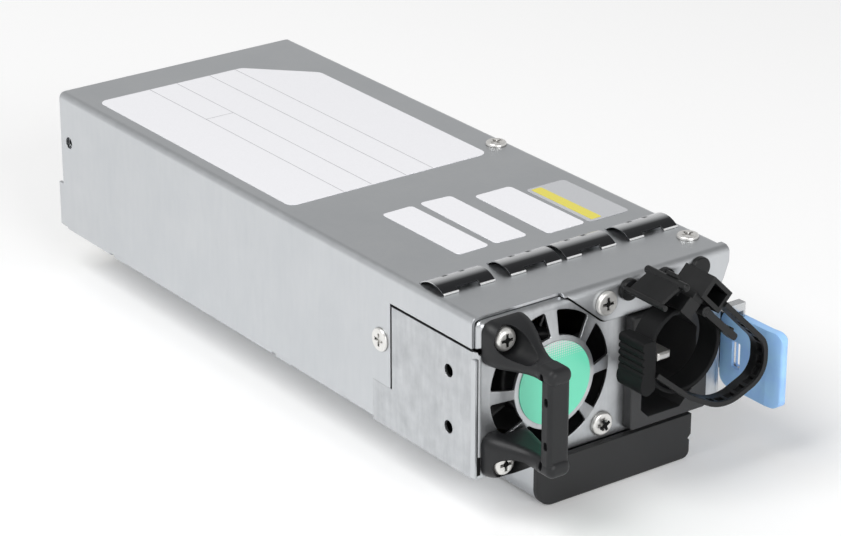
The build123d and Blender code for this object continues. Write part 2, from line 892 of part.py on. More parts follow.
def fan_rotor():
    # hub cup, open at the back, with twisted blades
    hub = Cylinder(rotor_hub_radius, rotor_length, align=(Align.CENTER, Align.CENTER, Align.MAX))
    hub = fillet(hub.edges().group_by(Axis.Z)[-1], 1.2)
    hub -= Pos(0, 0, -rotor_wall) * Cylinder(
        rotor_hub_radius - rotor_wall, rotor_length, align=(Align.CENTER, Align.CENTER, Align.MAX)
    )
    boss_length = 3 * rotor_wall - running_gap
    hub += Cylinder(shaft_radius + 1.2, boss_length, align=(Align.CENTER, Align.CENTER, Align.MAX))
    tip = duct_radius - blade_gap
    root = rotor_hub_radius - rotor_wall / 2
    middle = -rotor_length / 2
    blades = []
    for turn in range(blade_count):
        sections = []
        for reach, pitch in ((root, 52.0), (tip + 1.0, 38.0)):
            face = Plane(origin=(reach, 0, middle), x_dir=(0, 1, 0), z_dir=(1, 0, 0))
            sections.append(face * Rot(0, 0, pitch) * SlotOverall(blade_chord, blade_thickness))
        blades.append(Rot(0, 0, 360 / blade_count * turn) * loft(sections))
    ring = Cylinder(tip, rotor_length, align=(Align.CENTER, Align.CENTER, Align.MAX))
    core = Cylinder(rotor_hub_radius - rotor_wall / 2, rotor_length, align=(Align.CENTER, Align.CENTER, Align.MAX))
    for blade in blades:
        hub += (blade & ring) - core
    hub -= Cylinder(shaft_radius, big)
    return at_front(fan_x, rotor_front, fan_z) * hub


def hub_sticker():
    return rod_y(fan_x, fan_z, sticker_radius, -hub_emboss - sticker_thickness, -hub_emboss)


# Screws


def fan_screws():
    screws = []
    for level, seat in ((1, flange_face), (-1, 0)):
        x, z = fan_corner(1, level)
        screw = pan_screw(
            panel_screw_head_radius, panel_screw_head_height, panel_screw_radius, panel_screw_length + sheet
        )
        screws.append(at_front(x, seat, z) * screw)
    return screws


def handle_screws():
    screws = []
    for level in (1, -1):
        x, z = fan_corner(-1, level)
        screw = pan_screw(
            handle_screw_head_radius, handle_screw_head_height, panel_screw_radius, panel_screw_length + handle_seat
        )
        screws.append(at_front(x, -handle_seat, z) * screw)
    return screws


def cover_screws():
    screws = []
    for x, y in cover_screw_places:
        screw = pan_screw(cover_screw_head_radius, cover_screw_head_height, cover_screw_radius, cover_screw_length)
        screws.append(Pos(across(x), y, case_top) * screw)
    return screws


def side_screw():
    screw = pan_screw(side_screw_head_radius, 0.7, panel_screw_radius, 5 * sheet)
    return Pos(left, side_screw_back, down(side_screw_drop)) * to_left * screw


# Handle


def handle_section(x, z, y, radius):
    outline = fillet(panel_sheet(x, z[0], z[1]).vertices(), radius)
    return Plane.XZ.offset(-y) * outline


def handle_arm():
    # the upper arm: a wide pad on the panel narrowing to the grip's width
    low = fan_z + pad_inner
    top = fan_z + pad_outer
    grip_top = fan_z + grip_half_height
    arm_low = grip_top - arm_height
    pad_x = (across(pad_left), across(pad_right))
    grip_x = (across(grip_left), across(grip_right))

    def between(share):
        # limits of the section part of the way from the pad to the grip
        mix = [a + (b - a) * share for a, b in zip((*pad_x, low, top), (*grip_x, arm_low, grip_top))]
        return (mix[0], mix[1]), (mix[2], mix[3])

    shares = ((0, 0.0), (2.2, 0.06), (8.0, 0.62), (arm_straight, 1.0))
    sections = []
    for reach, share in shares:
        x, z = between(share)
        sections.append(handle_section(x, z, -reach, pad_round + (2.0 - pad_round) * share))
    arm = loft(sections)
    end = along_y(fillet(panel_sheet(grip_x, arm_low, grip_top).vertices(), 2.0), -handle_reach, -arm_straight)
    end = fillet(end.edges().group_by(Axis.Y)[0], 1.6)
    return arm + end


def handle():
    arm = handle_arm()
    half = Pos(0, 0, 2 * fan_z) * mirror(arm, Plane.XY)
    grip_x = (across(grip_left) + 0.2, across(grip_right) - 0.2)
    reach = grip_half_height - arm_height / 2
    bar = along_z(
        panel_sheet(grip_x, -grip_reach, grip_depth - grip_reach), fan_z - reach, fan_z + reach
    )
    bar = fillet(bar.edges().filter_by(Axis.Z), 1.1)
    whole = arm + half + bar
    # the pads end at the grille's rim and the arms pass over its raised disc
    whole -= rod_y(fan_x, fan_z, grille_radius + sheet_gap, -handle_clear, 1)
    for level in (1, -1):
        x, z = fan_corner(-1, level)
        whole -= rod_y(x, z, screw_access_radius, -handle_seat - screw_access_depth, -handle_seat)
        whole -= Pos(x, -handle_seat - screw_access_depth, z) * Sphere(screw_access_radius)
        whole -= rod_y(x, z, panel_screw_radius + hole_gap, -handle_seat - 1, 1)
        for y, offset in ((-17.0, 11.2), (-18.6, 5.6)):
            dimple = Pos(across(grip_left), y, fan_z + level * offset)
            slot = Rot(0, 90, 0) * extrude(SlotOverall(2.2, 2 * dimple_radius), dimple_depth)
            whole -= dimple * slot
    return whole


# Latch


latch_inner = case_width + latch_pad_gap
leaf_end_start = across(latch_inner) + (latch_pad_thickness - leaf_thickness) / 2
leaf_end_x = (leaf_end_start, leaf_end_start + leaf_thickness)


def latch_pad():
    # seen from above: a plate whose front end turns outwards
    pad_in = across(latch_inner)
    pad_out = pad_in + latch_pad_thickness
    front = -latch_pad_front
    knee = front + latch_flare_length
    outline = shape(
        [
            (pad_in, latch_pad_back),
            (pad_in, knee),
            (pad_in + latch_flare, front),
            (pad_out + latch_flare, front),
            (pad_out, knee),
            (pad_out, latch_pad_back),
        ]
    )
    outline = fillet(outline.vertices().group_by(Axis.Y)[0], latch_nose_round)
    pad = along_z(outline, down(latch_pad_low_drop), down(latch_pad_top_drop))
    side = panel_sheet((-latch_pad_front, latch_pad_back), down(latch_pad_low_drop), down(latch_pad_top_drop))
    pad &= along_x(fillet(side.vertices(), latch_pad_round), pad_in - 1, pad_out + latch_flare + 1)
    slot = panel_sheet((-latch_slot_front, -latch_slot_back), down(latch_slot_low_drop), down(latch_slot_top_drop))
    pad -= along_x(fillet(slot.vertices(), 0.4), pad_in - 1, pad_out + 1)
    # the leaf's end lies inside the pad, and its riser comes out at the top
    pad -= block(leaf_end_x, (-leaf_front, big), (down(leaf_low_drop), down(leaf_top_drop)))
    pad -= block(leaf_end_x, (-tab_front, -tab_back), (down(leaf_top_drop), case_top))
    return pad


def leaf_line(offset_out):
    # the leaf's path seen from above, offset outwards
    rest_in = inner_right - leaf_thickness
    out = leaf_end_start
    return [
        (rest_in + offset_out, leaf_pivot_back),
        (out + offset_out, leaf_bend_back),
        (out + offset_out, -leaf_front),
    ]


def latch_leaf():
    inner = leaf_line(0)
    outer = leaf_line(leaf_thickness)
    leaf = along_z(shape(inner + outer[::-1]), down(leaf_low_drop), down(leaf_top_drop))
    # the catch is a raised tooth with a sloping front
    slope_x = inner_right + (leaf_end_x[1] - inner_right) * (leaf_pivot_back - catch_back) / (
        leaf_pivot_back - leaf_bend_back
    )
    tooth = shape(
        [
            (slope_x - leaf_thickness, catch_back + catch_length * 1.4),
            (slope_x + catch_height, catch_back + 0.6),
            (slope_x + catch_height, catch_back),
            (slope_x - leaf_thickness, catch_back),
        ]
    )
    leaf += along_z(tooth, down(leaf_low_drop) + 3, down(leaf_top_drop) - 3)
    # the pad's slot runs through the leaf too
    leaf -= block((inner_right, big), (-latch_slot_front, -latch_slot_back),
                  (down(latch_slot_low_drop), down(latch_slot_top_drop)))
    # the stop tab above the pad, folded towards the case in front of the panel
    out = leaf_end_start
    riser = block(leaf_end_x, (-tab_front, -tab_back), (down(leaf_top_drop), down(tab_top_drop)))
    tab = block((out - tab_reach, out + leaf_thickness), (-tab_front, -tab_back),
                (down(tab_top_drop), down(tab_top_drop) + leaf_thickness))
    lip = block((out - tab_reach, out), (-tab_front, -tab_front + leaf_thickness),
                (down(tab_top_drop) - 1.6, down(tab_top_drop)))
    return leaf + riser + tab + lip


def latch_foot():
    # the fixed end of the spring, held flat on the right wall
    foot = block(
        (inner_right - leaf_thickness, inner_right),
        (leaf_pivot_back + leaf_foot_gap, leaf_foot_end),
        (down(leaf_low_drop), down(leaf_top_drop)),
    )
    foot = fillet(foot.edges().filter_by(Axis.X).group_by(Axis.Y)[-1], 2.0)
    for place in latch_rivet_places:
        foot -= rod_x(place, latch_mid, latch_rivet_radius + hole_gap, inner_right - 2, right)
    return foot


def latch_rivets():
    rivets = []
    back = inner_right - leaf_thickness
    for place in latch_rivet_places:
        shank = rod_x(place, latch_mid, latch_rivet_radius, back, right)
        inside = rod_x(place, latch_mid, latch_rivet_head, back - latch_rivet_head_height, back)
        outside = rod_x(place, latch_mid, latch_rivet_head, right, right + latch_rivet_head_height * 0.6)
        rivets.append(shank + inside + fillet(outside.edges().group_by(Axis.X)[-1], 0.3))
    return rivets


# Cord clamp


rail_low = (across(rail_slot_x), down(rail_slot_drop))
rail_high = (across(rail_bar_x), down(-rail_bar_rise))


def guide_rail():
    # a plate with a round bar along each long edge; the lower bar stands on the first rivet's head
    foot = flange_face - rivet_head_height
    length = hypot(rail_high[0] - rail_low[0], rail_high[1] - rail_low[1])
    angle = degrees(atan2(rail_high[1] - rail_low[1], rail_high[0] - rail_low[0]))
    middle = Pos((rail_low[0] + rail_high[0]) / 2, (rail_low[1] + rail_high[1]) / 2)
    rail = along_y(middle * Rot(0, 0, angle) * Rectangle(length, rail_thickness), -rail_web_front, -rail_web_back)
    rail += rod_y(*rail_low, rail_edge_radius, -rail_front, foot)
    bar = rod_y(*rail_high, rail_bar_radius, -rail_front, -rail_bar_back)
    bar = fillet(bar.edges().filter_by(GeomType.CIRCLE), rail_bar_radius * 0.6)
    return rail + bar


def tilted(x, drop, width, height):
    # a rectangle seen from the front, standing on its corner
    return Pos(across(x), down(drop)) * Rot(0, 0, -45) * Rectangle(width, height)


def box_side(along, out):
    # a point beside the ratchet box's lower side, measured along it and out from it
    turn = radians(-45)
    start_x = across(box_x) - box_width / 2 * cos(turn) + box_height / 2 * sin(turn)
    start_z = down(box_drop) - box_width / 2 * sin(turn) - box_height / 2 * cos(turn)
    return start_x + along * cos(turn) + out * sin(turn), start_z + along * sin(turn) - out * cos(turn)


arm_pin = box_side(arm_pin_along, arm_thickness / 2 + running_gap * 2 + 0.2)


def clamp_head():
    block_part = along_y(tilted(head_block_x, head_block_drop, head_block_size, head_block_size), -head_front,
                         -head_back)
    gate = tilted(box_x, box_drop, box_width, box_height)
    hollow = tilted(box_x, box_drop, box_width - 2 * box_wall, box_height - 2 * box_wall)
    ratchet = along_y(gate, -head_front, -head_back)
    bridge = along_y(tilted(bridge_x, bridge_drop, bridge_width, bridge_height), -head_front + 1, -head_back)
    head = block_part + ratchet + bridge
    head -= along_y(hollow, -head_front - 1, -head_back - box_wall)

    # the shoe hooks round the rail's bar from below, and a web joins it to the block
    block_top = (across(head_block_x), down(head_block_drop) + head_block_size / 2)
    reach = hypot(block_top[0] - rail_high[0], block_top[1] - rail_high[1])
    slope = degrees(atan2(block_top[1] - rail_high[1], block_top[0] - rail_high[0]))
    grip = Circle(rail_bar_radius + shoe_gap + shoe_wall)
    grip += Rot(0, 0, slope) * Pos(reach / 2, 0) * Rectangle(reach, 2 * shoe_wall)
    grip -= Circle(rail_bar_radius + shoe_gap)
    grip -= Rot(0, 0, shoe_mouth) * Pos(case_width / 2 + shoe_lip, 0) * Rectangle(case_width, case_width)
    head += along_y(Pos(*rail_high) * grip, -shoe_back - shoe_length, -shoe_back)

    # behind the block's face the plug's collar goes through freely
    collar_x0, collar_z0 = across(collar_x), down(collar_drop)
    head -= rod_y(collar_x0, collar_z0, collar_radius, -collar_front, 0)

    # lug and pin of the release arm
    x, z = arm_pin
    lug = Pos(x, z) * Circle(arm_eye_radius)
    lug += Pos(x, z) * Rot(0, 0, 45) * Pos(arm_eye_radius / 2, 0) * Rectangle(arm_eye_radius + 1, 2 * arm_eye_radius)
    lug_front = head_front - arm_width - running_gap
    head += along_y(lug, -lug_front, -lug_front + lug_length)
    head += rod_y(x, z, arm_pin_radius, -head_front, -lug_front)
    return head


def release_arm():
    x, z = arm_pin
    outline = Pos(arm_length / 2, 0) * SlotOverall(arm_length + arm_thickness, arm_thickness)
    outline += Circle(arm_eye_radius)
    outline -= Circle(arm_pin_radius + arm_pin_gap)
    arm = along_y(Pos(x, z) * Rot(0, 0, arm_angle) * outline, -head_front, -head_front + arm_width)
    # a small tooth near the free end for the fingernail
    tip = Rot(0, 0, arm_angle) * Pos(arm_length - 2, arm_thickness / 2) * Circle(arm_tip_radius)
    return arm + along_y(Pos(x, z) * tip, -head_front, -head_front + arm_width)


def collar_ring(radius):
    return Pos(across(collar_x), down(collar_drop)) * Circle(radius)


def clamp_collar():
    # ring that the plug's body goes through, with the ridged thumb tab on its left
    outer = collar_radius + collar_wall
    ring = along_y(collar_ring(outer) - collar_ring(collar_radius), -collar_front, -collar_back)
    ring = fillet(ring.edges().filter_by(GeomType.CIRCLE).group_by(Axis.Y)[0], 0.4)
    tab_x = (across(thumb_left), across(thumb_right))
    outline = fillet(panel_sheet(tab_x, down(thumb_low_drop), down(thumb_top_drop)).vertices(), thumb_round)
    for index in range(thumb_ridge_count):
        z = down(thumb_top_drop + thumb_ridge_start) - index * thumb_ridge_pitch
        groove = Pos(tab_x[0] - thumb_ridge_width * 0.2, z) * Rot(0, 0, 45) * Rectangle(
            thumb_ridge_width, thumb_ridge_width
        )
        outline -= groove
    tab = along_y(outline, -thumb_front, -thumb_back)
    # the outward curl of the tab's lower end
    curl = Pos(tab_x[0] + thumb_curl * 0.8, down(thumb_low_drop) + thumb_curl) * Ellipse(thumb_curl, thumb_curl * 1.3)
    tab += along_y(curl, -thumb_front, -thumb_back)
    neck = panel_sheet((tab_x[1] - 1, across(collar_x) - collar_radius * 0.8), down(collar_drop + collar_radius / 2),
                       down(collar_drop - collar_radius / 2))
    neck -= collar_ring(collar_radius)
    tab += along_y(neck, -collar_front, -collar_back)
    whole = ring + tab
    # the ring ends where it meets the sliding head, and leaves room for the release arm's eye
    whole -= clamp_head()
    x, z = arm_pin
    whole -= rod_y(x, z, arm_eye_radius + 2 * running_gap, -head_front, -collar_back + 1)
    return whole.solids().sort_by(SortBy.VOLUME)[-1]


def clamp_strap():
    # the ladder strap: from the ratchet box out to the right, round and back up to the thumb tab
    line = FilletPolyline(*[(across(x), down(drop)) for x, drop in strap_corners], radius=strap_bends)
    strap = along_y(trace(line, strap_thickness), -strap_front, strap_width - strap_front)
    # ladder recesses in the inner face, beside the front edge
    rung_front = strap_rung_edge - strap_front
    for index in range(strap_rung_count):
        share = (strap_rung_start + index * strap_rung_pitch) / line.length
        place, heading = line @ share, line % share
        turned = Pos(place.X, place.Y) * Rot(0, 0, degrees(atan2(heading.Y, heading.X)))
        recess = turned * Pos(0, -strap_thickness / 2) * Rectangle(strap_rung_length, 2 * strap_rung_depth)
        strap -= along_y(recess, rung_front, rung_front + strap_rung_width)
    # it starts at the box's mouth, passes in front of the collar and ends on the tab
    strap -= along_y(tilted(box_x, box_drop, box_width, box_height), -head_front - 1, -head_back)
    strap -= rod_y(across(collar_x), down(collar_drop), collar_radius + collar_wall + sheet_gap,
                   -collar_front - sheet_gap, 0)
    neck_low = down(collar_drop + collar_radius / 2) - sheet_gap
    strap -= block((-big, across(collar_x)), (-collar_front - sheet_gap, 0), (neck_low, case_top))
    strap -= block((-big, across(thumb_right)), (-big, 0), (case_low, case_top))
    return strap.solids().sort_by(SortBy.VOLUME)[-1]


# Spring clips on the roof


def spring_clip(start):
    chord = clip_back - clip_front
    radius = (chord ** 2 / 4 + clip_rise ** 2) / (2 * clip_rise)
    middle = Pos((clip_front + clip_back) / 2, case_top + clip_rise - radius)
    arch = middle * (Circle(radius) - Circle(radius - clip_thickness))
    arch &= panel_sheet((clip_front - 1, clip_back + 1), case_top, case_top + 2 * clip_rise)
    x0 = across(start)
    clip = along_x(arch, x0, x0 + clip_width)
    # between its two feet the front edge is cut back
    clip -= block(
        (x0 + clip_foot_width, x0 + clip_width - clip_foot_width),
        (clip_front - 1, clip_front + clip_foot_length),
        (case_top - 1, case_top + clip_rise),
    )
    for share in (1, 2):
        x = x0 + clip_width * share / 3
        hole = ((x - clip_slot_width / 2, x + clip_slot_width / 2), (clip_back - 3.6, clip_back - 3.6 + clip_slot_length))
        clip -= block(*hole, (case_top, case_top + 2 * clip_rise))
    for side in (0, 1):
        x = x0 + side * (clip_width - clip_hook_width)
        hook_y = (clip_back - clip_thickness - 0.2, clip_back - 0.2)
        clip += block((x, x + clip_hook_width), hook_y, (case_top - clip_hook_depth, case_top + clip_thickness))
        foot_y = (hook_y[0] - 1.2, hook_y[1])
        foot_z = (roof_low - clip_thickness - sheet_gap, roof_low - sheet_gap)
        clip += block((x, x + clip_hook_width), foot_y, foot_z)
    return clip


# Inside


def insulation_film():
    film = block((board_left, board_right), (board_front, board_back - 2), (floor_top, floor_top + film_thickness))
    for x, y in standoff_places:
        film -= rod_z(across(x), y, standoff_radius + hole_gap, floor_top - 1, floor_top + 1)
    return film


def board_standoffs():
    posts = []
    for x, y in standoff_places:
        post = along_z(Pos(across(x), y) * RegularPolygon(standoff_radius, 6), floor_top, board_low)
        posts.append(post - rod_z(across(x), y, board_screw_radius + hole_gap, floor_top + 0.5, board_low + 1))
    return posts


def board_screws():
    screws = []
    for x, y in standoff_places:
        screw = pan_screw(board_screw_head_radius, board_screw_head_height, board_screw_radius, board_screw_length)
        screws.append(Pos(across(x), y, board_top) * screw)
    return screws


def circuit_board():
    board = block((board_left, board_right), (board_front, board_back), (board_low, board_top))
    tongue = block((across(tongue_left), across(tongue_right)), (board_back - 1, board_tongue_back),
                   (board_low, board_top))
    board += fillet(tongue.edges().filter_by(Axis.Z).group_by(Axis.Y)[-1], 1.0)
    for x, y in standoff_places:
        board -= rod_z(across(x), y, board_screw_radius + hole_gap, board_low - 1, board_top + 1)
    return board


def edge_contacts():
    contacts = []
    middle = across((tongue_left + tongue_right) / 2)
    back = board_tongue_back - 1.0
    for index in range(contact_count):
        x = middle + (index - (contact_count - 1) / 2) * contact_pitch
        place = ((x - contact_width / 2, x + contact_width / 2), (back - contact_length, back))
        contacts.append(block(*place, (board_top, board_top + contact_thickness)))
        contacts.append(block(*place, (board_low - contact_thickness, board_low)))
    return contacts


def bulk_capacitors():
    cans = []
    for x, y in bulk_places:
        can = rod_z(across(x), y, bulk_radius, board_top, board_top + bulk_height)
        can = fillet(can.edges().group_by(Axis.Z)[-1], 1.0)
        # the crimped waist near the base and the pressed vent cross on top
        groove = Pos(across(x), y, board_top + 3.0) * Torus(bulk_radius + 0.3, 0.8)
        vent = Pos(across(x), y, board_top + bulk_height) * (
            Box(bulk_radius, 0.6, 0.6) + Box(0.6, bulk_radius, 0.6)
        )
        cans.append(can - groove - vent)
    return cans


def transformer_core():
    # a pair of E halves: outer legs, yokes and a round centre leg
    half_w = core_width / 2
    base = board_top + 1.2
    outline = panel_sheet((-half_w, half_w), 0, core_height)
    windows = panel_sheet((-half_w + core_leg, half_w - core_leg), core_leg, core_height - core_leg)
    frame = along_y(outline - windows, -core_depth / 2 + 4, core_depth / 2 - 4)
    frame += rod_z(0, 0, core_centre_radius, 0, core_height)
    frame = fillet(frame.edges().filter_by(Axis.Y).group_by(Axis.Z)[-1], 0.8)
    return Pos(across(core_x), core_y, base) * frame


def transformer_winding():
    base = board_top + 1.2 + core_leg
    height = core_height - 2 * core_leg
    coil = rod_z(0, 0, core_width / 2 - core_leg - 0.4, 0.6, height - 0.6)
    coil = fillet(coil.edges(), 0.6)
    for z in (0, height - 0.6):
        coil += along_z(RectangleRounded(core_width - 2 * core_leg - 0.2, core_depth, 2.0), z, z + 0.6)
    # bobbin feet stand on the board beside the core
    for side in (-1, 1):
        y = sorted((side * (core_depth / 2 - 0.2), side * (core_depth / 2 - 2.6)))
        coil += block((-7, 7), y, (board_top - base, 0.6))
    coil -= rod_z(0, 0, core_centre_radius + hole_gap, -core_leg, core_height)
    return Pos(across(core_x), core_y, base) * coil


def heat_sink(x, span, wall_side):
    # an extruded plate with short fins towards the case wall
    plate = block((x, x + sink_thickness), span, (board_top, board_top + sink_height))
    for index in range(sink_fin_count):
        z = board_top + sink_height - 1 - index * sink_fin_pitch
        start = x if wall_side < 0 else x + sink_thickness
        reach = sorted((start, start + wall_side * sink_fin_length))
        plate += block(reach, span, (z - sink_fin_thickness, z))
    return plate


def primary_heat_sink():
    return heat_sink(across(sink_left), primary_sink_span, -1)


def secondary_heat_sink():
    return heat_sink(across(sink_right) - sink_thickness, secondary_sink_span, 1)


def power_transistors():
    devices = []
    rows = (
        (across(sink_left) + sink_thickness, (92.0, 105.0), 1),
        (across(sink_right) - sink_thickness, (106.0, 121.0, 136.0, 151.0), -1),
    )
    for face, places, side in rows:
        for y in places:
            x = sorted((face, face + side * transistor_thickness))
            low = board_top + transistor_lift
            body = block(x, (y - transistor_width / 2, y + transistor_width / 2), (low, low + transistor_height))
            body = chamfer(body.edges().group_by(Axis.Z)[-1], 0.5)
            for shift in (-1, 0, 1):
                leg_x = face + side * transistor_thickness / 2
                leg_y = y + shift * transistor_width * 0.27
                body += block((leg_x - 0.35, leg_x + 0.35), (leg_y - 0.5, leg_y + 0.5), (board_top, low + 1))
            devices.append(body)
    return devices


def choke_base():
    return Pos(across(choke_x), choke_y, board_top + 2 * choke_wire_radius + choke_wire_gap)


def choke_core():
    ring = rod_z(0, 0, choke_radius, 0, choke_height) - rod_z(0, 0, choke_hole_radius, -1, choke_height + 1)
    return choke_base() * fillet(ring.edges().filter_by(GeomType.CIRCLE), 0.8)


def choke_winding():
    # each turn is a square loop of wire round the ring's section, spread round it by a loop
    wire = 2 * choke_wire_radius
    inner = (choke_radius - choke_hole_radius, choke_height)
    turn_middle = ((choke_radius + choke_hole_radius) / 2, choke_height / 2)
    gap = 2 * choke_wire_gap
    loop = RectangleRounded(inner[0] + gap + 2 * wire, inner[1] + gap + 2 * wire, wire)
    loop -= RectangleRounded(inner[0] + gap, inner[1] + gap, choke_wire_gap)
    turns = []
    for index in range(choke_turns):
        turn = extrude(Plane.XZ.offset(-wire / 2) * Pos(*turn_middle) * loop, wire)
        turns.append(choke_base() * Rot(0, 0, index * 360 / choke_turns) * turn)
    return turns


def filter_capacitors():
    boxes = []
    for x, y in filter_places:
        body = block(
            (across(x) - filter_length / 2, across(x) + filter_length / 2),
            (y - filter_depth / 2, y + filter_depth / 2),
            (board_top, board_top + filter_height),
        )
        boxes.append(chamfer(body.edges().group_by(Axis.Z)[-1], 0.6))
    return boxes


def fuse():
    z = board_top + fuse_cap_radius
    tube = rod_y(across(fuse_x), z, fuse_radius, fuse_y - fuse_length / 2, fuse_y + fuse_length / 2)
    for side in (-1, 1):
        ends = sorted((fuse_y + side * fuse_length / 2, fuse_y + side * (fuse_length / 2 - fuse_cap_length)))
        tube += rod_y(across(fuse_x), z, fuse_cap_radius, *ends)
    return tube


def output_capacitors():
    cans = []
    for row in range(output_rows):
        for column in range(output_columns):
            x = across(output_x + column * output_pitch)
            y = output_y + row * output_pitch
            can = rod_z(x, y, output_radius, board_top, board_top + output_height)
            cans.append(fillet(can.edges().group_by(Axis.Z)[-1], 0.6))
    return cans


def control_board():
    x = across(control_x)
    card = block((x, x + control_thickness), control_span, (board_top, board_top + control_height))
    chip = block((x + control_thickness, x + control_thickness + 1.6), (control_span[0] + 8, control_span[0] + 18),
                 (board_top + 8, board_top + 18))
    return card + chip


nodes = {
    "cover": cover,
    "front_panel": front_panel,
    "base_tray": base_tray,
    "keel_trough": keel_trough,
    "skirt": skirt,
    "rear_panel": rear_panel,
    "inlet_housing": inlet_housing,
    "inlet_pins": inlet_pins,
    "push_rivets": push_rivets,
    "fan_frame": fan_frame,
    "fan_bearing": fan_bearing,
    "fan_stator": fan_stator,
    "fan_shaft": fan_shaft,
    "fan_rotor": fan_rotor,
    "hub_sticker": hub_sticker,
    "fan_screws": fan_screws,
    "handle_screws": handle_screws,
    "cover_screws": cover_screws,
    "side_screw": side_screw,
    "handle": handle,
    "latch_pad": latch_pad,
    "latch_leaf": latch_leaf,
    "latch_foot": latch_foot,
    "latch_rivets": latch_rivets,
    "guide_rail": guide_rail,
    "clamp_head": clamp_head,
    "release_arm": release_arm,
    "clamp_collar": clamp_collar,
    "clamp_strap": clamp_strap,
    "insulation_film": insulation_film,
    "board_standoffs": board_standoffs,
    "board_screws": board_screws,
    "circuit_board": circuit_board,
    "edge_contacts": edge_contacts,
    "bulk_capacitors": bulk_capacitors,
    "transformer_core": transformer_core,
    "transformer_winding": transformer_winding,
    "primary_heat_sink": primary_heat_sink,
    "secondary_heat_sink": secondary_heat_sink,
    "power_transistors": power_transistors,
    "choke_core": choke_core,
    "choke_winding": choke_winding,
    "filter_capacitors": filter_capacitors,
    "fuse": fuse,
    "output_capacitors": output_capacitors,
    "control_board": control_board,
}
for number, start in enumerate(clip_lefts, 1):
    nodes[f"spring_clip_{number}"] = lambda start=start: spring_clip(start)

for name, make in nodes.items():
    made = make()
    solids = made if isinstance(made, list) else [made]
    export_step(Compound(children=solids) if len(solids) > 1 else solids[0], f"parts/{name}.step")
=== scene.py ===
import math

import bmesh
import bpy
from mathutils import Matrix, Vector

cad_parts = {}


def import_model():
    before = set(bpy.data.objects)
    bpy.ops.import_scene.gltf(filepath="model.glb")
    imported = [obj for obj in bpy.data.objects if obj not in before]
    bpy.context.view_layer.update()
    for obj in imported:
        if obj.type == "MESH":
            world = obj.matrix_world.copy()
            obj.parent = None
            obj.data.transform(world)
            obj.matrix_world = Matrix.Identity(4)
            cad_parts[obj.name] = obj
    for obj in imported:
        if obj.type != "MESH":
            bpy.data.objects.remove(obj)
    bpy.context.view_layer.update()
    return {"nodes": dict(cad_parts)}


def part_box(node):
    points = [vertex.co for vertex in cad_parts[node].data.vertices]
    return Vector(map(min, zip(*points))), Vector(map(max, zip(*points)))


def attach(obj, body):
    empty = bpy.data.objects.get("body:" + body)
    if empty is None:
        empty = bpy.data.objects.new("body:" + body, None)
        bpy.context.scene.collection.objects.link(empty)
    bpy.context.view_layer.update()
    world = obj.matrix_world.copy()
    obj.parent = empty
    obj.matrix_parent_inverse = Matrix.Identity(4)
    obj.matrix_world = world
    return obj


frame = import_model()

mm = 0.001
nodes = frame["nodes"]

coverLow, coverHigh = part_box("cover")
caseLeft = coverLow.x
caseTop = coverHigh.z
print("frame loaded:", len(nodes), "nodes")


# nodes of a material

mixSocket = {
    "factor": 0,
    "first": 6,
    "second": 7,
    "result": 2,
}


def material(name, colour, metallic=0.0, roughness=0.5):
    made = bpy.data.materials.new(name)
    made.use_nodes = True
    shader = made.node_tree.nodes["Principled BSDF"]
    shader.inputs["Base Color"].default_value = (*colour, 1)
    shader.inputs["Metallic"].default_value = metallic
    shader.inputs["Roughness"].default_value = roughness
    return made


def add(made, kind, **values):
    node = made.node_tree.nodes.new(kind)
    for name, value in values.items():
        if name in node.inputs:
            node.inputs[name].default_value = value
        else:
            setattr(node, name, value)
    return node


def join(made, output, target):
    made.node_tree.links.new(output, target)


def shaderInput(made, name):
    return made.node_tree.nodes["Principled BSDF"].inputs[name]


def objectPlace(made, stretch=(1, 1, 1)):
    # object coordinates, in metres, stretched along an axis where the grain runs
    place = add(made, "ShaderNodeTexCoord")
    mapping = add(made, "ShaderNodeMapping")
    mapping.inputs["Scale"].default_value = stretch
    join(made, place.outputs["Object"], mapping.inputs["Vector"])
    return mapping.outputs["Vector"]


def coordinate(made, kind, axis):
    # one axis of a texture coordinate
    place = add(made, "ShaderNodeTexCoord")
    apart = add(made, "ShaderNodeSeparateXYZ")
    join(made, place.outputs[kind], apart.inputs[0])
    return apart.outputs[axis]


def noise(made, place, scale, detail, rough=0.55):
    texture = add(made, "ShaderNodeTexNoise", Scale=scale, Detail=detail, Roughness=rough)
    join(made, place, texture.inputs["Vector"])
    return texture.outputs["Fac"]


def spread(made, value, low, high, fromLow=0.3, fromHigh=0.7):
    # maps a texture's middle range to a range of the material's own
    ranged = add(made, "ShaderNodeMapRange")
    ranged.inputs["From Min"].default_value = fromLow
    ranged.inputs["From Max"].default_value = fromHigh
    ranged.inputs["To Min"].default_value = low
    ranged.inputs["To Max"].default_value = high
    join(made, value, ranged.inputs["Value"])
    return ranged.outputs["Result"]


def blendColour(made, factor, dark, light):
    mix = add(made, "ShaderNodeMix", data_type="RGBA")
    mix.inputs[mixSocket["first"]].default_value = (*dark, 1)
    mix.inputs[mixSocket["second"]].default_value = (*light, 1)
    join(made, factor, mix.inputs[mixSocket["factor"]])
    return mix.outputs[mixSocket["result"]]


def bump(made, height, strength, distance, edge=0.0):
    # surface relief, with rounded edges where edge is a radius
    relief = add(made, "ShaderNodeBump", Strength=strength, Distance=distance)
    join(made, height, relief.inputs["Height"])
    if edge:
        rounded = add(made, "ShaderNodeBevel", samples=4, Radius=edge)
        join(made, rounded.outputs["Normal"], relief.inputs["Normal"])
    join(made, relief.outputs["Normal"], shaderInput(made, "Normal"))


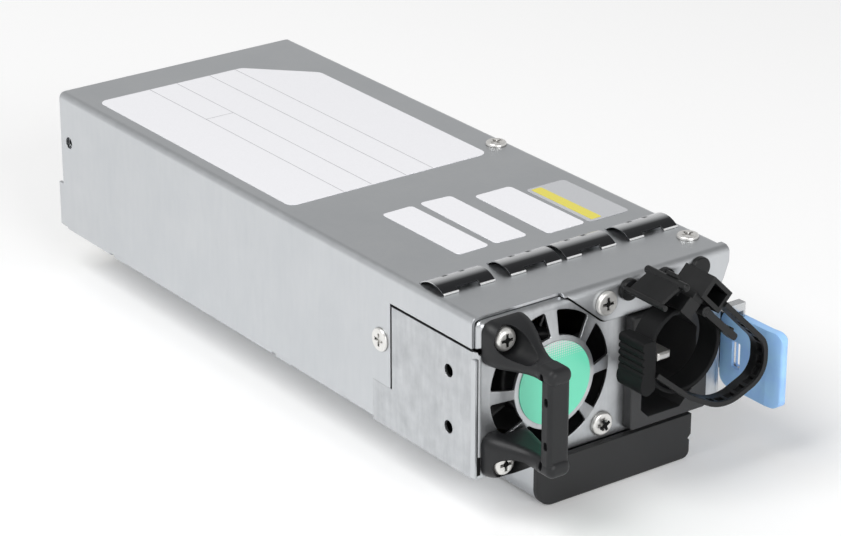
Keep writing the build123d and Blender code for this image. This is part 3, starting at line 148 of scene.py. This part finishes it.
def shaded(made, colour, reach, least, closed=0.35, clear=0.8):
    # painted shade: darkens a colour, down to its least share, in the gaps, corners and recesses that
    # ambient occlusion finds
    corner = add(made, "ShaderNodeAmbientOcclusion", samples=8, Distance=reach)
    share = spread(made, corner.outputs["AO"], least, 1.0, closed, clear)
    product = add(made, "ShaderNodeMix", data_type="RGBA", blend_type="MULTIPLY")
    product.inputs[mixSocket["factor"]].default_value = 1.0
    join(made, colour, product.inputs[mixSocket["first"]])
    join(made, share, product.inputs[mixSocket["second"]])
    return product.outputs[mixSocket["result"]]


def scaled(colour, share):
    return tuple(part * share for part in colour)


# finishes

zinc = {
    "dark": (0.550, 0.570, 0.590),
    "light": (0.610, 0.625, 0.640),
    "cloudScale": 60,
    "streakScale": 520,
    "streakStretch": (1, 1, 0.2),
    "roughness": (0.33, 0.39),
    "cornerReach": 0.0009,
    "cornerLeast": 0.3,
    "pressedDark": (0.43, 0.445, 0.46),
    "pressedScale": 230,
}


def zincSheet(name, dark=zinc["dark"], cloudScale=zinc["cloudScale"]):
    # rolled zinc-coated steel: faint clouds and short streaks over a fine satin grain
    made = material(name, zinc["light"], metallic=1.0, roughness=0.36)
    clouds = noise(made, objectPlace(made), cloudScale, detail=3.0)
    grain = objectPlace(made, zinc["streakStretch"])
    streaks = noise(made, grain, zinc["streakScale"], detail=5.0, rough=0.6)
    both = add(made, "ShaderNodeMath", operation="ADD")
    join(made, spread(made, clouds, 0.0, 0.5), both.inputs[0])
    join(made, spread(made, streaks, 0.0, 0.5), both.inputs[1])
    plain = blendColour(made, both.outputs[0], dark, zinc["light"])
    # painted shade in corners, gaps and recesses
    paintedShadeColour = shaded(made, plain, zinc["cornerReach"], zinc["cornerLeast"])
    join(made, paintedShadeColour, shaderInput(made, "Base Color"))
    join(made, spread(made, streaks, *zinc["roughness"]), shaderInput(made, "Roughness"))
    bump(made, streaks, strength=0.05, distance=0.00003, edge=0.0003)
    return made


plastic = {
    "patchScale": 120,
    "patchShare": 1.25,
    "patchLift": 0.002,
    "glossier": 0.06,
    "duller": 0.08,
    "grainDepth": 0.00003,
    "edge": 0.0003,
}


def mouldedPlastic(name, colour, roughness, grainScale=2600, grain=0.25, gloss=0.5):
    # moulded plastic with a spark-eroded grain and slightly uneven gloss
    made = material(name, colour, roughness=roughness)
    shaderInput(made, "Specular IOR Level").default_value = gloss
    place = objectPlace(made)
    grainNoise = noise(made, place, grainScale, detail=2.0)
    patches = noise(made, place, plastic["patchScale"], detail=3.0)
    lighter = tuple(min(1.0, part * plastic["patchShare"] + plastic["patchLift"]) for part in colour)
    patchy = blendColour(made, spread(made, patches, 0, 1), colour, lighter)
    uneven = spread(made, patches, roughness - plastic["glossier"], roughness + plastic["duller"])
    join(made, patchy, shaderInput(made, "Base Color"))
    join(made, uneven, shaderInput(made, "Roughness"))
    bump(made, grainNoise, grain, plastic["grainDepth"], plastic["edge"])
    return made


plating = {
    "scratchStretch": (1, 0.15, 1),
    "dullShare": 0.93,
    "roughLow": 0.85,
    "roughHigh": 1.2,
    "cornerReach": 0.0005,
    "cornerLeast": 0.06,
    "edge": 0.0002,
}


def platedMetal(name, colour, roughness, scratchScale=900, metallic=1.0):
    # bright plating with fine handling scratches
    made = material(name, colour, metallic=metallic, roughness=roughness)
    grain = objectPlace(made, plating["scratchStretch"])
    scratches = noise(made, grain, scratchScale, detail=6.0, rough=0.7)
    dull = scaled(colour, plating["dullShare"])
    plain = blendColour(made, spread(made, scratches, 0, 1), dull, colour)
    # painted shade in corners, gaps and recesses, such as screw slots
    paintedShadeColour = shaded(made, plain, plating["cornerReach"], plating["cornerLeast"])
    uneven = spread(made, scratches, roughness * plating["roughLow"], roughness * plating["roughHigh"])
    join(made, paintedShadeColour, shaderInput(made, "Base Color"))
    join(made, uneven, shaderInput(made, "Roughness"))
    bump(made, scratches, strength=0.03, distance=0.00001, edge=plating["edge"])
    return made


# painted reflection and highlight on the spring clips: colours along Y from the dark front slope over the
# crest to the rear
clip = {
    "slope": (0.07, 0.072, 0.076),
    "crest": (0.46, 0.47, 0.48),
    "rear": (0.66, 0.67, 0.68),
    "slopeEnd": 0.60,
    "crestStart": 0.82,
}


def clipSteelPaintedReflection(name, front, crest):
    # bright strip whose front slope is painted dark as a painted reflection of dark surroundings, with a
    # painted highlight along its crest
    made = platedMetal(name, clip["crest"], 0.2)
    share = spread(made, coordinate(made, "Object", "Y"), 0.0, 1.0, front, crest)
    ramp = add(made, "ShaderNodeValToRGB")
    stops = (
        (0.0, clip["slope"]),
        (clip["slopeEnd"], clip["slope"]),
        (clip["crestStart"], clip["crest"]),
        (1.0, clip["rear"]),
    )
    while len(ramp.color_ramp.elements) < len(stops):
        ramp.color_ramp.elements.new(0.5)
    for element, (position, colour) in zip(ramp.color_ramp.elements, stops):
        element.position = position
        element.color = (*colour, 1)
    join(made, share, ramp.inputs["Fac"])
    join(made, ramp.outputs["Color"], shaderInput(made, "Base Color"))
    return made


def wireWinding(name, colour, turnScale=900, grooveShadeShare=0.45):
    # enamelled wire wound side by side, the turns as fine ribs, with painted shade in the grooves between
    # them
    made = material(name, colour, metallic=0.9, roughness=0.3)
    bands = add(made, "ShaderNodeTexWave", bands_direction="Z", Scale=turnScale, Distortion=0.4)
    join(made, objectPlace(made), bands.inputs["Vector"])
    wires = blendColour(made, bands.outputs["Fac"], scaled(colour, grooveShadeShare), colour)
    join(made, wires, shaderInput(made, "Base Color"))
    bump(made, bands.outputs["Fac"], strength=0.5, distance=0.0001)
    return made


mask = {
    "plain": (0.02, 0.16, 0.07),
    "dark": (0.015, 0.13, 0.05),
    "light": (0.03, 0.21, 0.09),
    "trackScale": 260,
}


def boardMask(name):
    # green solder mask over faint copper tracks
    made = material(name, mask["plain"], roughness=0.3)
    tracks = add(made, "ShaderNodeTexBrick", Scale=mask["trackScale"])
    join(made, objectPlace(made), tracks.inputs["Vector"])
    greens = blendColour(made, tracks.outputs["Fac"], mask["dark"], mask["light"])
    join(made, greens, shaderInput(made, "Base Color"))
    bump(made, tracks.outputs["Fac"], strength=0.2, distance=0.00002)
    return made


jetBlack = (0.0055, 0.0058, 0.0062)
steelWall = zincSheet("zinc wall")
pressedSheet = zincSheet("zinc panel", zinc["pressedDark"], zinc["pressedScale"])
blackGrained = mouldedPlastic("black grained plastic", (0.022, 0.0225, 0.0235), 0.45)
skirtPlastic = mouldedPlastic("skirt plastic", (0.015, 0.0153, 0.016), 0.5, gloss=0.4)
collarPlastic = mouldedPlastic("collar plastic", jetBlack, 0.6, grain=0.08, gloss=0.15)
handlePlastic = mouldedPlastic("handle plastic", (0.011, 0.0115, 0.0125), 0.42, gloss=0.32)
blackSmooth = mouldedPlastic("black smooth plastic", jetBlack, 0.38, grain=0.08, gloss=0.3)
fanPlastic = mouldedPlastic("fan plastic", (0.008, 0.008, 0.0085), 0.4)
bluePlastic = mouldedPlastic("blue plastic", (0.32, 0.56, 1.0), 0.35, grain=0.1)
yellowPlastic = mouldedPlastic("yellow capacitor case", (0.72, 0.52, 0.06), 0.4)
sleeve = mouldedPlastic("capacitor sleeve", (0.02, 0.022, 0.03), 0.28)
nickel = platedMetal("nickel plate", (0.80, 0.79, 0.765), 0.32, metallic=0.75)
springSteel = platedMetal("spring steel", (0.60, 0.61, 0.62), 0.2)
# painted highlight: a near-white finish standing in for the glints on the clip feet
paintedHighlightEdge = platedMetal("painted highlight edge", (0.95, 0.95, 0.95), 0.35, metallic=0.35)
# painted shade: a black finish for sheets put in seams, slots and screw recesses where there is only shade
paintedShadeBlack = mouldedPlastic("painted shade black", (0.006, 0.006, 0.006), 0.7, gloss=0.1)
# clip finish with a painted reflection on its front slope and a painted highlight on its crest
clipLow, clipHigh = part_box("spring_clip_1")
clipBand = clipSteelPaintedReflection("clip steel with painted reflection", clipLow.y, (clipLow.y + clipHigh.y) / 2)
aluminium = platedMetal("extruded aluminium", (0.74, 0.745, 0.75), 0.34, scratchScale=500)
gold = platedMetal("gold contact", (0.85, 0.60, 0.22), 0.2)
bronze = platedMetal("sintered bronze", (0.50, 0.34, 0.17), 0.45)
copper = wireWinding("copper winding", (0.75, 0.34, 0.16))
ferrite = mouldedPlastic("ferrite", (0.045, 0.045, 0.05), 0.6, grainScale=1500, grain=0.5)
filmSheet = mouldedPlastic("insulating film", (0.62, 0.60, 0.50), 0.3, grain=0.05)
ceramic = mouldedPlastic("ceramic tube", (0.78, 0.75, 0.68), 0.25, grain=0.05)
board = boardMask("solder mask")
print("finishes made")

finishOf = {
    "cover": steelWall,
    "front_panel": pressedSheet,
    "base_tray": steelWall,
    "keel_trough": steelWall,
    "rear_panel": steelWall,
    "skirt": skirtPlastic,
    "inlet_housing": blackGrained,
    "inlet_pins": nickel,
    "push_rivets": blackSmooth,
    "fan_frame": fanPlastic,
    "fan_rotor": fanPlastic,
    "fan_bearing": bronze,
    "fan_stator": copper,
    "fan_shaft": springSteel,
    "fan_screws": nickel,
    "handle_screws": nickel,
    "cover_screws": nickel,
    "side_screw": nickel,
    "handle": handlePlastic,
    "latch_pad": bluePlastic,
    "latch_leaf": springSteel,
    "latch_foot": springSteel,
    "latch_rivets": nickel,
    "guide_rail": blackSmooth,
    "clamp_head": blackSmooth,
    "release_arm": blackSmooth,
    "clamp_collar": collarPlastic,
    "clamp_strap": blackSmooth,
    "insulation_film": filmSheet,
    "board_standoffs": nickel,
    "board_screws": nickel,
    "circuit_board": board,
    "control_board": board,
    "edge_contacts": gold,
    "bulk_capacitors": sleeve,
    "output_capacitors": sleeve,
    "transformer_core": ferrite,
    "choke_core": ferrite,
    "transformer_winding": copper,
    "choke_winding": copper,
    "primary_heat_sink": aluminium,
    "secondary_heat_sink": aluminium,
    "power_transistors": sleeve,
    "filter_capacitors": yellowPlastic,
    "fuse": ceramic,
    "spring_clip_1": clipBand,
    "spring_clip_2": clipBand,
    "spring_clip_3": clipBand,
    "spring_clip_4": clipBand,
}


def give(piece, finish):
    piece.data.materials.clear()
    piece.data.materials.append(finish)


for name, finish in finishOf.items():
    give(nodes[name], finish)


# meshes

def meshPiece(name, make, finish, body):
    mesh = bmesh.new()
    make(mesh)
    bmesh.ops.recalc_face_normals(mesh, faces=mesh.faces)
    data = bpy.data.meshes.new(name)
    mesh.to_mesh(data)
    mesh.free()
    piece = bpy.data.objects.new(name, data)
    bpy.context.scene.collection.objects.link(piece)
    data.materials.append(finish)
    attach(piece, body)


def arc(before, corner, after, radius, steps=8):
    # the arc that rounds a corner: its middle, and the directions from there to its points
    toBefore = (before - corner).normalized()
    toAfter = (after - corner).normalized()
    half = toBefore.angle(toAfter) / 2
    middle = corner + (toBefore + toAfter).normalized() * (radius / math.sin(half))
    reach = radius / math.tan(half)
    start = corner + toBefore * reach - middle
    end = corner + toAfter * reach - middle
    return middle, [start.lerp(end, step / steps).normalized() for step in range(steps + 1)]


def roundedOutline(corners, radius):
    # a closed outline whose corners are arcs of one radius
    points = []
    places = [Vector(corner) for corner in corners]
    for index, place in enumerate(places):
        after = places[(index + 1) % len(places)]
        middle, turns = arc(places[index - 1], place, after, radius)
        points += [middle + turn * radius for turn in turns]
    return points


def skin(mesh, rings):
    # sides from each ring of corners to the next, and a face over each end
    for lower, upper in zip(rings, rings[1:]):
        for index in range(len(lower)):
            after = (index + 1) % len(lower)
            mesh.faces.new((lower[index], lower[after], upper[after], upper[index]))
    mesh.faces.new(rings[0][::-1])
    mesh.faces.new(rings[-1])


def plate(mesh, outline, low, high, rim=0.0):
    # a thin plate between two heights, its upper edge drawn in by rim
    centre = sum((Vector(point) for point in outline), Vector((0, 0))) / len(outline)
    rings = []
    for height, inset in ((low, 0.0), (high - rim, 0.0), (high, rim)):
        ring = []
        for point in outline:
            inward = (centre - Vector(point)).normalized() * inset
            ring.append(mesh.verts.new((point[0] + inward.x, point[1] + inward.y, height)))
        rings.append(ring)
    skin(mesh, rings)


def rectangle(x0, x1, y0, y1):
    return (x0, y0), (x1, y0), (x1, y1), (x0, y1)


# labels on the top, all bare: places in mm from the case's left side and the front panel's face

labels = {
    "thickness": 0.09,
    "rim": 0.02,
    "round": 2.6,
    "smallRound": 1.2,
    "bandRound": 0.3,
    "rating": ((4.7, 83.3), (67.0, 83.3), (67.2, 161.1), (51.3, 177.2), (4.7, 177.2)),
    "slips": {
        "label_slip_left": ((20.1, 33.5), (29.7, 33.7), (29.4, 65.6), (20.0, 65.4)),
        "label_slip_middle": ((31.7, 33.9), (41.2, 33.3), (41.3, 65.3), (32.0, 66.0)),
        "label_slip_right": ((45.9, 31.2), (57.7, 31.2), (57.4, 61.6), (46.0, 61.6)),
    },
    "foil": ((58.9, 31.0), (71.7, 31.0), (71.4, 57.2), (59.0, 57.2)),
    "band": ((60.2, 32.0), (63.4, 32.0), (63.2, 56.2), (60.1, 56.2)),
}


def paper(name, colour, fibreScale=2200, darkShare=0.965):
    # coated label paper: faint fibre and a thin clear film
    made = material(name, colour, roughness=0.34)
    shaderInput(made, "Coat Weight").default_value = 0.3
    shaderInput(made, "Coat Roughness").default_value = 0.12
    fibre = noise(made, objectPlace(made), fibreScale, detail=3.0)
    mottled = blendColour(made, spread(made, fibre, 0, 1), scaled(colour, darkShare), colour)
    join(made, mottled, shaderInput(made, "Base Color"))
    bump(made, fibre, strength=0.06, distance=0.00002)
    return made


whitePaper = paper("white label", (0.90, 0.90, 0.93))
greyFoil = paper("grey foil label", (0.52, 0.53, 0.55))
yellowPaper = paper("yellow band", (0.80, 0.70, 0.07))


def onTop(corners):
    return [(caseLeft + x * mm, y * mm) for x, y in corners]


def label(name, corners, radius, finish, lift=0.0):
    outline = roundedOutline(onTop(corners), radius * mm)
    low = caseTop + lift * mm
    high = low + labels["thickness"] * mm

    def make(mesh):
        plate(mesh, outline, low, high, labels["rim"] * mm)

    meshPiece(name, make, finish, "case")


label("label_rating", labels["rating"], labels["round"], whitePaper)
for slipName, corners in labels["slips"].items():
    label(slipName, corners, labels["smallRound"], whitePaper)
label("label_foil", labels["foil"], labels["smallRound"], greyFoil)
label("label_yellow_band", labels["band"], labels["bandRound"], yellowPaper, lift=labels["thickness"])
print("labels made")


# ruled lines on the big label: four along it and a short one across

form = {
    "rules": (21.0, 29.7, 40.5, 49.0),
    "length": (83.5, 177.0),
    "crossRule": (21.0, 29.7),
    "crossAt": 148.2,
    "width": 0.2,
    "lift": 0.01,
    "thickness": 0.01,
    "ink": (0.42, 0.42, 0.44),
}


def formLines(mesh):
    low = caseTop + (labels["thickness"] + form["lift"]) * mm
    high = low + form["thickness"] * mm
    strips = [rectangle(rule, rule + form["width"], *form["length"]) for rule in form["rules"]]
    strips.append(rectangle(*form["crossRule"], form["crossAt"], form["crossAt"] + form["width"]))
    for strip in strips:
        plate(mesh, onTop(strip), low, high)


meshPiece("label_form_lines", formLines, paper("grey print", form["ink"]), "case")


# painted highlight: bright lips along the two feet of each spring clip on the roof

lip = {
    "height": 0.5,
    "depth": 0.3,
    "footWidth": 4.6,
    "inset": 0.1,
    "proud": 0.02,
    "rim": 0.05,
}


def clipLips(name):
    low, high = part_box(name)
    front = low.y - lip["proud"] * mm
    back = low.y + lip["depth"] * mm

    def make(mesh):
        for start in (low.x, high.x - lip["footWidth"] * mm):
            left = start + lip["inset"] * mm
            right = start + (lip["footWidth"] - lip["inset"]) * mm
            outline = rectangle(left, right, front, back)
            plate(mesh, outline, caseTop, caseTop + lip["height"] * mm, lip["rim"] * mm)

    return make


for index in (1, 2, 3, 4):
    meshPiece(f"clip_lips_{index}", clipLips(f"spring_clip_{index}"), paintedHighlightEdge, "case")


# the wall's front edge, and painted shade in the seam and slot beside the front panel's left bend

wallX = caseLeft / mm
seam = {
    "top": 43.1,
    "low": 12.35,
    "back": 2.0,
    "edgeWidth": 0.62,
    "edgeBack": 1.7,
    "edgeProud": 0.01,
    "lineWidth": 0.36,
    "lineFront": 0.13,
    "slotTop": 17.7,
    "slotLow": 13.0,
    "slotWidth": 1.05,
}
seamX = wallX + seam["edgeWidth"]


def upright(x0, x1, y0, y1, low, top):
    # a strip that stands between two heights, all in mm
    def make(mesh):
        plate(mesh, [(x * mm, y * mm) for x, y in rectangle(x0, x1, y0, y1)], low * mm, top * mm)

    return make


wallEdge = (wallX - seam["edgeProud"], seamX, 0.0, seam["edgeBack"], seam["low"], seam["top"])
seamLine = (seamX, seamX + seam["lineWidth"], seam["lineFront"], seam["back"], seam["slotTop"], seam["top"])
seamSlot = (seamX, seamX + seam["slotWidth"], 0.0, seam["back"], seam["slotLow"], seam["slotTop"])
meshPiece("wall_front_edge", upright(*wallEdge), steelWall, "case")
# painted shade: dark strips in the seam groove and the slot
meshPiece("seam_line", upright(*seamLine), paintedShadeBlack, "case")
meshPiece("seam_slot", upright(*seamSlot), paintedShadeBlack, "case")


# painted shade: dark sheets in the cross recesses of the screws on the front, a little fuller than their
# narrow slots

cross = {
    "reach": 1.55,
    "width": 0.72,
    "fall": 0.22,
    "proud": 0.07,
    "turns": {"fan_screws": (24, 68), "handle_screws": (52, 12)},
}


def crossArm(mesh, x, z, front, angle):
    # one arm, from the screw's middle out to a tip that lies deeper
    along = Vector((math.cos(angle), math.sin(angle))) * cross["reach"] * mm
    side = Vector((-math.sin(angle), math.cos(angle))) * cross["width"] * mm / 2
    fall = cross["fall"] * mm
    ends = ((side, front), (-side, front), (along - side, front + fall), (along + side, front + fall))
    outer = [mesh.verts.new((x + place.x, y, z + place.y)) for place, y in ends]
    inner = [mesh.verts.new((x + place.x, y + fall, z + place.y)) for place, y in ends]
    skin(mesh, (outer, inner))


def crosses(name):
    low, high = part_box(name)
    radius = (high.x - low.x) / 2
    front = low.y - cross["proud"] * mm

    def make(mesh):
        for z, turn in zip((low.z + radius, high.z - radius), cross["turns"][name]):
            for arm in range(4):
                crossArm(mesh, low.x + radius, z, front, math.radians(turn + 90 * arm))

    return make


for screws in cross["turns"]:
    meshPiece(f"{screws}_crosses", crosses(screws), paintedShadeBlack, "case")


# painted shadow: a dark strip in the gap round the flange, down its slope, round its corner and along its
# foot

gap = {
    "path": ((25.8, 0.0), (38.0, 10.0), (71.0, 10.0)),
    "startShare": 0.07,
    "round": 3.0,
    "width": 0.42,
    "depth": 0.06,
}


def flangeGap(mesh):
    top, corner, end = [Vector((wallX + x, caseTop / mm - drop)) for x, drop in gap["path"]]
    middle, turns = arc(top, corner, end, gap["round"])
    stations = [(top.lerp(corner, gap["startShare"]), turns[0])]
    stations += [(middle + turn * gap["round"], turn) for turn in turns]
    stations.append((end, turns[-1]))
    rings = []
    for point, outward in stations:
        far = point + outward * gap["width"]
        corners = ((point, -gap["depth"]), (far, -gap["depth"]), (far, gap["depth"]), (point, gap["depth"]))
        rings.append([mesh.verts.new((place.x * mm, y * mm, place.y * mm)) for place, y in corners])
    skin(mesh, rings)


meshPiece("flange_gap", flangeGap, paintedShadeBlack, "case")
print("small front pieces made")


# green film on the fan's hub disc: paler dots grow towards its top

sticker = {
    "green": (0.165, 0.74, 0.50),
    "silver": (0.62, 0.66, 0.65),
    "roughness": 0.32,
    "coat": 0.3,
    "dotPitch": 0.62,
    "dotStart": 0.05,
    "dotMost": 0.62,
}


def stickerFilm(name):
    made = material(name, sticker["green"], roughness=sticker["roughness"])
    shaderInput(made, "Coat Weight").default_value = sticker["coat"]
    low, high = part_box("hub_sticker")
    middle = ((low + high) / 2).z
    radius = (high.x - low.x) / 2
    place = add(made, "ShaderNodeTexCoord")
    cells = add(made, "ShaderNodeTexVoronoi", Scale=1 / (sticker["dotPitch"] * mm), Randomness=0.0)
    join(made, place.outputs["Object"], cells.inputs["Vector"])
    start = middle + radius * sticker["dotStart"]
    height = coordinate(made, "Object", "Z")
    rise = spread(made, height, 0.0, sticker["dotMost"], start, middle + radius)
    dots = add(made, "ShaderNodeMath", operation="LESS_THAN")
    join(made, cells.outputs["Distance"], dots.inputs[0])
    join(made, rise, dots.inputs[1])
    dotted = blendColour(made, dots.outputs[0], sticker["green"], sticker["silver"])
    join(made, dotted, shaderInput(made, "Base Color"))
    return made


give(nodes["hub_sticker"], stickerFilm("green film"))
print("hub film made")


# floor, light and camera

white = (1, 1, 1, 1)
studio = {
    "floorSize": 6.0,
    "floorColour": (0.92, 0.92, 0.92),
    "floorLift": 0.10,
    "horizon": 0.80,
    "zenith": 0.21,
    "lamps": {
        "key": {"place": (-0.9, 0.15, 1.3), "aim": (0, 0.09, 0), "size": (1.0, 1.0), "power": 16.0},
        "front": {"place": (-0.1, -1.3, 0.6), "aim": (0, 0, 0.03), "size": (0.9, 0.6), "power": 9.0},
    },
}


def floorPaint():
    # matt white, a little whiter still where a camera, glossy or transmission ray meets it
    made = material("floor paint", studio["floorColour"], roughness=0.9)
    shaderInput(made, "Specular IOR Level").default_value = 0.0
    rays = add(made, "ShaderNodeLightPath")
    seen = rays.outputs["Is Camera Ray"]
    for kind in ("Is Glossy Ray", "Is Transmission Ray"):
        total = add(made, "ShaderNodeMath", operation="ADD", use_clamp=True)
        join(made, seen, total.inputs[0])
        join(made, rays.outputs[kind], total.inputs[1])
        seen = total.outputs[0]
    shaderInput(made, "Emission Color").default_value = white
    lift = spread(made, seen, 0.0, studio["floorLift"], 0.0, 1.0)
    join(made, lift, shaderInput(made, "Emission Strength"))
    return made


def floor():
    half = studio["floorSize"] / 2
    corners = [(x, y, 0) for x, y in rectangle(-half, half, -half, half)]
    data = bpy.data.meshes.new("floor")
    data.from_pydata(corners, [], [(0, 1, 2, 3)])
    piece = bpy.data.objects.new("floor", data)
    bpy.context.scene.collection.objects.link(piece)
    data.materials.append(floorPaint())


def turnTo(thing, place, aim):
    thing.location = place
    thing.rotation_euler = (Vector(aim) - Vector(place)).to_track_quat("-Z", "Y").to_euler()


def softbox(name, place, aim, size, power):
    data = bpy.data.lights.new(name, "AREA")
    data.shape = "RECTANGLE"
    data.size, data.size_y = size
    data.energy = power
    lamp = bpy.data.objects.new(name, data)
    bpy.context.scene.collection.objects.link(lamp)
    turnTo(lamp, place, aim)


def world():
    # a pale room, brighter round the horizon than overhead
    made = bpy.data.worlds.new("studio")
    bpy.context.scene.world = made
    made.use_nodes = True
    backdrop = made.node_tree.nodes["Background"]
    height = coordinate(made, "Generated", "Z")
    level = spread(made, height, studio["horizon"], studio["zenith"], 0.0, 1.0)
    join(made, level, backdrop.inputs["Strength"])
    backdrop.inputs["Color"].default_value = white


floor()
world()
for name, lamp in studio["lamps"].items():
    softbox(name, **lamp)

viewpoint = {
    "place": (-434.6, -521.2, 347.9),
    "aim": (-32.8, 27.3, 55.7),
    "sensor": 36,
    "lens": 133.45,
    "shiftX": -0.0059,
    "nearest": 0.05,
    "farthest": 20,
}


def camera():
    data = bpy.data.cameras.new("camera")
    data.sensor_width = viewpoint["sensor"]
    data.lens = viewpoint["lens"]
    data.shift_x = viewpoint["shiftX"]
    data.clip_start = viewpoint["nearest"]
    data.clip_end = viewpoint["farthest"]
    view = bpy.data.objects.new("camera", data)
    bpy.context.scene.collection.objects.link(view)
    turnTo(view, Vector(viewpoint["place"]) * mm, Vector(viewpoint["aim"]) * mm)
    bpy.context.scene.camera = view


camera()
bpy.context.scene.view_settings.view_transform = "Standard"
print("studio made")
